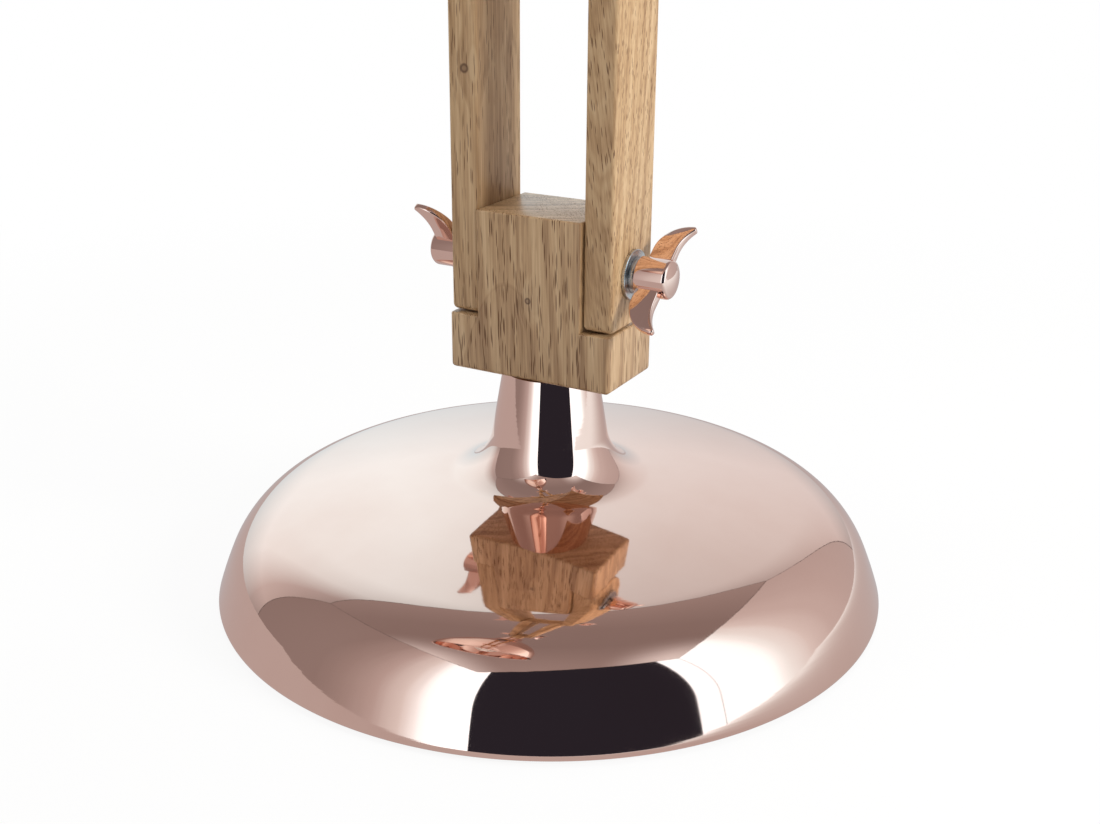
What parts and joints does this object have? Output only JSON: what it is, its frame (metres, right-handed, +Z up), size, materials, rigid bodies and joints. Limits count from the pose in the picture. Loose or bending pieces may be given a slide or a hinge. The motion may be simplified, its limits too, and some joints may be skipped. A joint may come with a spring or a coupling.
{
  "type": "adjustable desk lamp",
  "caption": "Desk lamp with a spun metal base, paired wooden bars clamped by wing nuts at its pivots, and a tilting bell-shaped shade with a screw-in bulb.",
  "frame": {"origin": "middle of the foot pad's underside, on the table", "axes": "X along the pivot studs, -Y towards the side the shade reaches over, Z up"},
  "size_m": [0.199, 0.3297, 0.3823],
  "materials": {
    "copper": "polished rose-copper plating",
    "wood": "clear satin lacquer on open-pored hardwood",
    "steel": "zinc-plated",
    "brass": "plain turned",
    "iron": "as cast",
    "felt": "felt",
    "black": "moulded",
    "opal": "opal"
  },
  "bodies": {
    "base": {"base_shell": "copper", "base_ballast": "iron", "base_pad": "felt", "base_rod": "steel", "base_rod_washer": "steel", "base_rod_nut": "steel", "block_insert": "brass", "base_block": "wood", "base_stud": "steel"},
    "lower_arm": {"lower_bar_left": "wood", "lower_bar_right": "wood", "base_flat_washers": "steel", "base_spring_washers": "steel", "elbow_stud": "steel", "elbow_flat_washers": "steel", "elbow_spring_washers": "steel"},
    "upper_arm": {"upper_bar_left": "wood", "upper_bar_right": "wood", "elbow_spacer": "wood", "head_stud": "steel", "head_flat_washers": "steel", "head_spring_washers": "steel"},
    "head": {"head_tongue": "wood", "cord_bush": "black", "shade": "copper", "shade_nipple": "steel", "nipple_nut": "steel", "holder_cap": "black", "holder_skirt": "black", "holder_sleeve": "brass", "holder_contact": "brass", "bulb_cap": "steel", "bulb_globe": "opal"},
    "base_nut_left": {"base_nut_left": "copper"},
    "base_nut_right": {"base_nut_right": "copper"},
    "elbow_nut_left": {"elbow_nut_left": "copper"},
    "elbow_nut_right": {"elbow_nut_right": "copper"},
    "head_nut_left": {"head_nut_left": "copper"},
    "head_nut_right": {"head_nut_right": "copper"}
  },
  "joints": [
    {"name": "lower_tilt", "type": "hinge", "parent": "base", "child": "lower_arm", "pos_m": [0, 0, 0.0994], "axis": [-1, 0, 0], "range_deg": [-2, 60]},
    {"name": "elbow_tilt", "type": "hinge", "parent": "lower_arm", "child": "upper_arm", "pos_m": [0, 0, 0.2194], "axis": [1, 0, 0], "range_deg": [-60, 30]},
    {"name": "head_tilt", "type": "hinge", "parent": "upper_arm", "child": "head", "pos_m": [0, -0.06762, 0.36441], "axis": [-1, 0, 0], "range_deg": [-30, 60]},
    {"name": "base_nut_left_turn", "type": "hinge", "parent": "base", "child": "base_nut_left", "pos_m": [0, 0, 0.0994], "axis": [-1, 0, 0], "range_deg": [0, 180]},
    {"name": "base_nut_right_turn", "type": "hinge", "parent": "base", "child": "base_nut_right", "pos_m": [0, 0, 0.0994], "axis": [1, 0, 0], "range_deg": [0, 180]},
    {"name": "elbow_nut_left_turn", "type": "hinge", "parent": "lower_arm", "child": "elbow_nut_left", "pos_m": [0, 0, 0.2194], "axis": [-1, 0, 0], "range_deg": [0, 180]},
    {"name": "elbow_nut_right_turn", "type": "hinge", "parent": "lower_arm", "child": "elbow_nut_right", "pos_m": [0, 0, 0.2194], "axis": [1, 0, 0], "range_deg": [0, 180]},
    {"name": "head_nut_left_turn", "type": "hinge", "parent": "upper_arm", "child": "head_nut_left", "pos_m": [0, -0.06762, 0.36441], "axis": [-1, 0, 0], "range_deg": [0, 180]},
    {"name": "head_nut_right_turn", "type": "hinge", "parent": "upper_arm", "child": "head_nut_right", "pos_m": [0, -0.06762, 0.36441], "axis": [1, 0, 0], "range_deg": [0, 180]}
  ]
}
